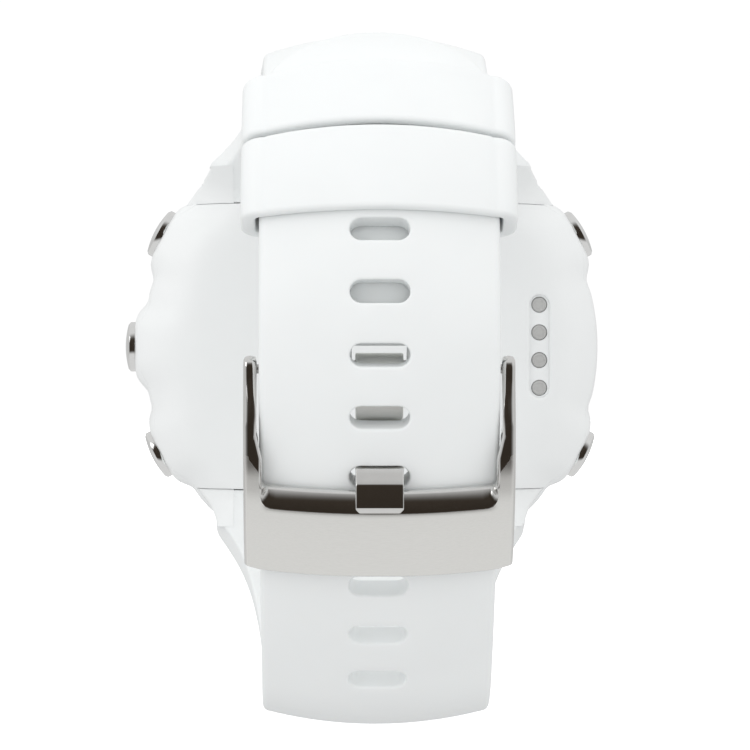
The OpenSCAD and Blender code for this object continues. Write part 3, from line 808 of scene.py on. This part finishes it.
def bezel():
    m = Mesh()
    profile = soften([(16.2, 10.65), (21.4, 10.65), (21.35, 11.1), (20.9, 11.9), (20.1, 12.4), (19.4, 12.6),
                      (18.4, 12.6), (17.75, 12.3), (17.75, 11.15), (16.2, 11.15), (16.2, 10.65)], 0.35)
    lathe(m, profile, lambda x, y, h: (x, h, y), 160)
    return m.build("bezel_ring_body", [bezel_white], "watch", ["bezel_ring"], sharp=60)


bezel()


def key_place(angle):
    c, s = math.cos(angle), math.sin(angle)

    def place(x, y, h):
        # local X stays along the case axis, local Y along the flank
        return h * c - y * s, KEY_Y + x, h * s + y * c
    return place


for body, angle in KEY_ANGLES.items():
    m = Mesh()
    profile = [(0, 17.3), (0.9, 17.3), (1.1, 17.5), (1.1, 17.72), (0.7, 17.72), (0.7, 18.08), (1.1, 18.08),
               (1.1, 20.4), (0.7, 20.4), (0.7, 20.95), (1.1, 20.95), (1.1, 22.95)]
    cap = [(2.1, 22.95), (2.3, 23.0), (2.42, 23.1), (2.45, 23.25), (2.45, 23.62), (2.42, 23.72), (2.3, 23.8)]
    cap += [(r, 24.2 - 0.3 * (r / 2.2) ** 2) for r in np.linspace(2.2, 0.2, 14)] + [(0, 24.2)]
    lathe(m, profile + cap, key_place(angle), 72)
    m.build(body + "_cap", [key_chrome], body, [body], sharp=35)

m = Mesh()
for i in (-1.5, -0.5, 0.5, 1.5):
    z = i * CONTACT_PITCH
    profile = [(0, 4.2), (0.35, 4.2), (0.35, 1.9), (0.75, 1.9), (0.75, 0.62), (0.72, 0.48), (0.62, 0.38),
               (0.54, 0.36), (0.48, 0.4), (0.42, 0.41), (0.34, 0.38), (0.2, 0.35), (0.1, 0.34), (0, 0.335)]
    lathe(m, profile, lambda x, y, h, z=z: (CONTACT_X + x, h, z + y), 36)
m.build("contact_pins", [contact_metal], "watch", ["charging_contacts"], sharp=40)

m = Mesh()
for sx in (-1, 1):
    for sz in (-1, 1):
        profile = [(0, 9.6), (0.3, 9.6), (0.45, 9.75), (0.45, 14.32), (0.98, 14.34), (1.1, 14.44), (1.1, 14.72),
                   (1.05, 14.84), (0.92, 14.9), (0.5, 14.9), (0.46, 14.86), (0.46, 14.55), (0, 14.5)]
        lathe(m, profile, lambda x, y, h: (sx * h, BAR_Y + x, BAR_Z * sz + y), 36)
m.build("lug_screw_set", [pin_steel], "watch", ["lug_screws"], sharp=35)

# ---------------------------------------------------------------- buckle

PLATE = NEAR + 15.6
END = PLATE + 7.4
ARM = NEAR + TAIL_R * math.radians(11)
ARM_R, SQUEEZE = 1.15, TAIL_R / 22.5


def flow(points, s, w=0.5):
    """Straight runs between points with their corners eased."""
    a, b = [p[0] for p in points], [p[1] for p in points]
    return float(np.mean([np.interp(s + w * t, a, b) for t in (-1, -0.5, 0, 0.5, 1)]))


def frame_top(x, s):
    if s < ARM:
        return -4 + ARM_R * math.sqrt(max(0, 1 - ((ARM - s) / (ARM_R * SQUEEZE)) ** 2))
    edge = flow([(ARM - 1, -2.82), (ARM + 0.5, -2.85), (NEAR + 9.5, -0.95), (NEAR + 13, 0.15), (NEAR + 15.5, 0.5),
                 (PLATE + 2.2, 0.5), (PLATE + 4, 0.33), (PLATE + 6, 0.02), (END - 0.2, -0.28), (END + 1, -0.5)], s)
    return edge + 0.0125 * (10.7 ** 2 - x * x) * ease((s - ARM) / 3)


def frame_low(x, s):
    if s < ARM:
        return -4 - ARM_R * math.sqrt(max(0, 1 - ((ARM - s) / (ARM_R * SQUEEZE)) ** 2))
    side = flow([(ARM - 1, -5.15), (ARM + 0.5, -5.1), (NEAR + 9.5, -3.2), (PLATE - 0.2, -2.6), (END - 1.4, -1.6),
                 (END, -1.25), (END + 1, -1.25)], s, 0.3)
    over = 0.16 - 0.0125 * x * x
    return mix(over, min(side, over), ease((abs(x) - 10.08) / 0.12)) if s > NEAR + 11 else min(side, over)


def brushed_from(x):
    return NEAR + 13.3 - 1.2 * max(-0.4, abs(x) - 9.9)


def buckle_frame():
    start = ARM - 0.985 * ARM_R * SQUEEZE
    half, arm = 11.3, 10.2
    right = rounded([(arm, NEAR + 9.2), (arm, start), (half, start), (half, END - 0.5), (9.4, END - 0.15),
                     (0, END - 0.3)], [0, 0.5, 0.5, 0.4, 2.2, 0], 7)
    outer = trace(right, 0.45, False)
    inner = rounded([(arm, NEAR + 9.2), (arm, NEAR + 10.4), (9.75, NEAR + 12.2), (9.75, NEAR + 14.75),
                     (0, NEAR + 14.75)], [0, 1.4, 1.4, 0.7, 0], 7)
    inner = trace(inner, 0.45, False)
    half_loop = list(reversed(inner))[:-1] + outer
    loop = half_loop + [(-x, s) for x, s in reversed(half_loop[1:-1])]
    rims = []
    for x, s in loop:
        ax = abs(x)
        if s < NEAR + 9.5:
            rims.append((0.3, 0.22))
        elif s > NEAR + 14.6 and s < NEAR + 15 and ax < 9.6:
            rims.append((mix(0.3, 1.45, ease((9.75 - ax) / 0.6)), mix(0.35, 1.2, ease((9.75 - ax) / 0.6))))
        elif ax < 10.3 and s < NEAR + 15:
            rims.append((0.26, 0.3))
        elif s > END - 0.6 and ax < 10:
            rims.append((0.3, 0.3))
        else:
            rims.append((0.2, 0.2))
    m = Mesh()
    fill = grid(-9.5, 9.5, NEAR + 15, END - 0.2, 0.55)
    for x in (9.95, 10.07, 10.2, 10.47, 10.68, 10.86):
        for s in np.arange(start + 0.2, END - 0.3, 0.4):
            fill += [(x, s), (-x, s)]
    for x in np.arange(9.9, 10.85, 0.1):
        fill += [(x, brushed_from(x)), (-x, brushed_from(x))]
    sheet(m, [Loop(loop, rims)], fill, frame_top, frame_low, long_path.place, steps=6, profile="bevel", clear=0.09,
          mats=(lambda x, s: 0 if s > brushed_from(x) else 1, 1, 1))
    obj = m.build("buckle_frame_plate", [brushed, polished], "buckle", ["buckle_frame"], sharp=28)
    cut(obj, rods=[(9.5, 10.99, *PIVOT, 0.43), (-10.99, -9.5, *PIVOT, 0.43)])
    return obj


buckle_frame()


def buckle_tongue():
    """The prong: a ring round the spring bar, a shank under the strap and a nose bent up through the slot."""
    exit_s = FIRST + 6 * PITCH

    def on(s, n):
        return tuple(long_path.place(0, s, n)[1:])

    def ring(deg):
        a = math.radians(deg)
        return PIVOT[0] + 1.35 * math.cos(a), PIVOT[1] + 1.35 * math.sin(a)
    top, rise = -STRAP_T - 0.22, exit_s - 0.9
    back = [ring(d) for d in np.linspace(-20, 200, 30)]
    body = [on(NEAR + 6.4, top), on(NEAR + 9, top), on(NEAR + 11.6, top), on(rise, top),
            on(rise, 0.3), on(exit_s - 0.05, 1.5), on(exit_s + 0.9, 2.15), on(exit_s + 1.6, 2.6),
            on(exit_s + 2.25, 2.15), on(exit_s + 2.2, 1.85), on(exit_s + 1.2, 1.3), on(exit_s + 0.55, 0.62),
            on(exit_s + 0.55, -2.6), on(exit_s - 0.1, -3.55), on(NEAR + 11.6, top - 1.1), on(NEAR + 9.5, top - 1.1),
            on(NEAR + 7.5, top - 1.1)]
    radii = [0.4, 0.3, 0.3, 0.35, 0.25, 0.5, 0.8, 0.3, 0.25, 0.3, 0.8, 0.25, 0.3, 0.6, 0.3, 0.3, 0.4]
    pts = back + rounded(body, radii, 4)
    keep = [pts[0]]
    for q in pts[1:]:
        if math.dist(q, keep[-1]) > 0.06:
            keep.append(q)
    pts = trace(keep, 0.3)
    hole = [(PIVOT[0] + y, PIVOT[1] + z) for y, z in circle(0, 0, 0.82, 28)]
    nose = on(exit_s + 2.25, 2.1)

    def place(y, z, h):
        d = math.hypot(y - nose[0], z - nose[1])
        return h * (1 - 0.14 * (1 - ease(d / 0.7))), y, z
    m = Mesh()
    ys, zs = [p[0] for p in pts], [p[1] for p in pts]
    fill = grid(min(ys), max(ys), min(zs), max(zs), 0.3)
    sheet(m, [Loop(pts, (0.13, 0.13)), Loop(hole, (0.1, 0.1), hole=True)], fill, lambda u, v: 2.0, lambda u, v: -2.0,
          place, steps=3, clear=0.12, mats=(0, lambda y, z: int(z > on(exit_s - 0.9, 0)[1]), 0))
    return m.build("buckle_tongue_prong", [polished, brushed], "tongue", ["buckle_tongue"], sharp=40)


buckle_tongue()

# ---------------------------------------------------------------- dial side

SEGMENTS = {"0": "abcdef", "1": "bc", "2": "abged", "3": "abgcd", "4": "fgbc", "5": "afgcd", "6": "afgedc", "7": "abc",
            "8": "abcdefg", "9": "abcfgd"}
lcd_grey = moulded("lcd_grey", (0.36, 0.38, 0.36), 0.02, (0.2, 0.28), 3000, 0.000001, 0.05)
lcd_ink = moulded("lcd_ink", (0.02, 0.022, 0.024), 0.004, (0.3, 0.4), 3000)


def bar(m, a, b, half, y0=11.0, y1=11.06):
    """One display segment: a thin bar with pointed ends."""
    a, b = np.array(a, float), np.array(b, float)
    d = (b - a) / np.linalg.norm(b - a)
    n = np.array([-d[1], d[0]])
    ring = [a, a + (d + n) * half, b + (-d + n) * half, b, b + (-d - n) * half, a + (d - n) * half]
    up = [m.vert((p[0], y1, p[1])) for p in ring]
    dn = [m.vert((p[0], y0, p[1])) for p in ring]
    m.face(up)
    m.face(dn[::-1])
    for i in range(6):
        j = (i + 1) % 6
        m.face((up[i], dn[i], dn[j], up[j]))


def digits(m, text, x, z, w, h, t, step):
    """Seven-segment numbers seen from the dial side, where x runs to the left."""
    g = t * 0.35
    for i, c in enumerate(text):
        cx = x - i * step
        L, Rr, T, M, B = cx + w / 2, cx - w / 2, z + h / 2, z, z - h / 2
        runs = {"a": ((L - g, T), (Rr + g, T)), "b": ((Rr, T - g), (Rr, M + g)), "c": ((Rr, M - g), (Rr, B + g)),
                "d": ((L - g, B), (Rr + g, B)), "e": ((L, M - g), (L, B + g)), "f": ((L, T - g), (L, M + g)),
                "g": ((L - g, M), (Rr + g, M))}
        for s in SEGMENTS[c]:
            bar(m, *runs[s], t / 2)


m = Mesh()
lathe(m, soften([(0, 10.94), (14.6, 10.94), (14.6, 11.0), (0, 11.0)], 0.02), lambda x, y, h: (x, h, y), 128)
m.build("dial_panel", [lcd_grey], "watch", [], sharp=30)
m = Mesh()
digits(m, "145", 5.6, 0.4, 4.0, 7.6, 0.95, 5.6)
digits(m, "158", 2.6, 8.9, 1.8, 3.4, 0.45, 2.6)
digits(m, "132", 2.6, -7.6, 1.8, 3.4, 0.45, 2.6)
for z in (6.0, -4.9):
    bar(m, (9.5, z), (-9.5, z), 0.09)
for k in range(60):
    a = 2 * math.pi * k / 60
    c, s = math.cos(a), math.sin(a)
    r = 13.1 if k % 5 else 12.4
    bar(m, (c * r, s * r), (c * 13.9, s * 13.9), 0.08 if k % 5 else 0.15)
m.build("dial_marks", [lcd_ink], "watch", [], sharp=30)

# ---------------------------------------------------------------- studio


def stage_plane(name, centre, size, normal, mat):
    q = Vector(normal).to_track_quat("Z", "Y")
    me = bpy.data.meshes.new(name)
    hx, hy = size[0] / 2, size[1] / 2
    me.from_pydata([(-hx, -hy, 0), (hx, -hy, 0), (hx, hy, 0), (-hx, hy, 0)], [], [(0, 1, 2, 3)])
    me.materials.append(mat)
    obj = bpy.data.objects.new(name, me)
    bpy.context.scene.collection.objects.link(obj)
    obj.matrix_world = Matrix.LocRotScale(Vector(centre), q, None)
    return obj


def light(name, at, aim, size, power, shape="RECTANGLE", height=None):
    data = bpy.data.lights.new(name, "AREA")
    data.shape = shape
    data.size = size
    data.size_y = height or size
    data.energy = power
    obj = bpy.data.objects.new(name, data)
    bpy.context.scene.collection.objects.link(obj)
    obj.location = at
    obj.rotation_euler = (Vector(aim) - Vector(at)).to_track_quat("-Z", "Y").to_euler()
    return obj


floor_mat, nt, bsdf = tree("studio_floor")
bsdf.inputs["Roughness"].default_value = 0.9
cloud = noise(nt, object_coords(nt), 40)
nt.links.new(ramp(nt, cloud, (0.9, 0.9, 0.9), (0.92, 0.92, 0.92)), bsdf.inputs["Base Color"])
bsdf.inputs["Emission Color"].default_value = (1, 1, 1, 1)
bsdf.inputs["Emission Strength"].default_value = 0.75
ground = stage_plane("floor", (0, 0, -0.0345), (4, 4), (0, 0, 1), floor_mat)
ground.visible_diffuse = ground.visible_glossy = False

world = bpy.data.worlds.new("studio")
bpy.context.scene.world = world
world.use_nodes = True
nt = world.node_tree
nt.nodes.clear()
out = nt.nodes.new("ShaderNodeOutputWorld")
paths = nt.nodes.new("ShaderNodeLightPath")
plain = nt.nodes.new("ShaderNodeBackground")
mirror = nt.nodes.new("ShaderNodeBackground")
seen = nt.nodes.new("ShaderNodeBackground")
seen.inputs["Strength"].default_value = 1.02
seen.inputs["Color"].default_value = (1, 1, 1, 1)
coords = nt.nodes.new("ShaderNodeTexCoord")
axes = nt.nodes.new("ShaderNodeSeparateXYZ")
nt.links.new(coords.outputs["Generated"], axes.inputs["Vector"])


def step(axis, low, high, a, b):
    """A smooth change from a to b between two heights along an axis of the sky."""
    m = nt.nodes.new("ShaderNodeMapRange")
    m.interpolation_type = "SMOOTHSTEP"
    m.inputs["From Min"].default_value = low
    m.inputs["From Max"].default_value = high
    m.inputs["To Min"].default_value = a
    m.inputs["To Max"].default_value = b
    nt.links.new(axes.outputs[axis], m.inputs["Value"])
    return m.outputs["Result"]


def product(a, b, op="MULTIPLY"):
    m = nt.nodes.new("ShaderNodeMath")
    m.operation = op
    nt.links.new(a, m.inputs[0])
    nt.links.new(b, m.inputs[1])
    return m.outputs[0]


# even white surround for matt surfaces, a little stronger from above
nt.links.new(product(step("Z", -0.9, 0, 0.98, 1.32), step("Y", -1, 0.6, 1.02, 0.87)), plain.inputs["Strength"])
# the same room as polished metal sees it: dark in front above the table, grey walls, bright ceiling
front = product(step("Y", -0.85, -0.35, 1, 0), step("Z", -0.62, -0.3, 0, 1))
walls = product(step("Z", 0.1, 0.6, 0.62, 0.75), step("Z", -0.5, -0.15, 1.22, 1.0))
tone = nt.nodes.new("ShaderNodeMix")
tone.data_type = "RGBA"
nt.links.new(front, tone.inputs["Factor"])
tone.inputs["A"].default_value = (1, 1, 1, 1)
tone.inputs["B"].default_value = (0.06, 0.047, 0.036, 1)
nt.links.new(tone.outputs["Result"], mirror.inputs["Color"])
nt.links.new(walls, mirror.inputs["Strength"])
a = nt.nodes.new("ShaderNodeMixShader")
nt.links.new(paths.outputs["Is Glossy Ray"], a.inputs["Fac"])
nt.links.new(plain.outputs["Background"], a.inputs[1])
nt.links.new(mirror.outputs["Background"], a.inputs[2])
b = nt.nodes.new("ShaderNodeMixShader")
nt.links.new(paths.outputs["Is Camera Ray"], b.inputs["Fac"])
nt.links.new(a.outputs["Shader"], b.inputs[1])
nt.links.new(seen.outputs["Background"], b.inputs[2])
nt.links.new(b.outputs["Shader"], out.inputs["Surface"])

light("overhead", (0, -0.12, 0.42), (0, -0.02, 0), 0.5, 0.25).visible_glossy = False
light("key_left", (-0.35, -0.3, 0.28), (0, -0.03, 0), 0.25, 0.22)

bpy.context.scene.view_settings.view_transform = "Standard"

cam = bpy.data.cameras.new("camera")
cam.sensor_width = 36
cam.lens = 36 * 3282 / 750
cam.clip_start = 0.01
camera = bpy.data.objects.new("camera", cam)
bpy.context.scene.collection.objects.link(camera)
camera.location = (-0.0048, -0.319, -0.0028)
camera.rotation_euler = (math.radians(90), 0, math.radians(-0.932))
bpy.context.scene.camera = camera
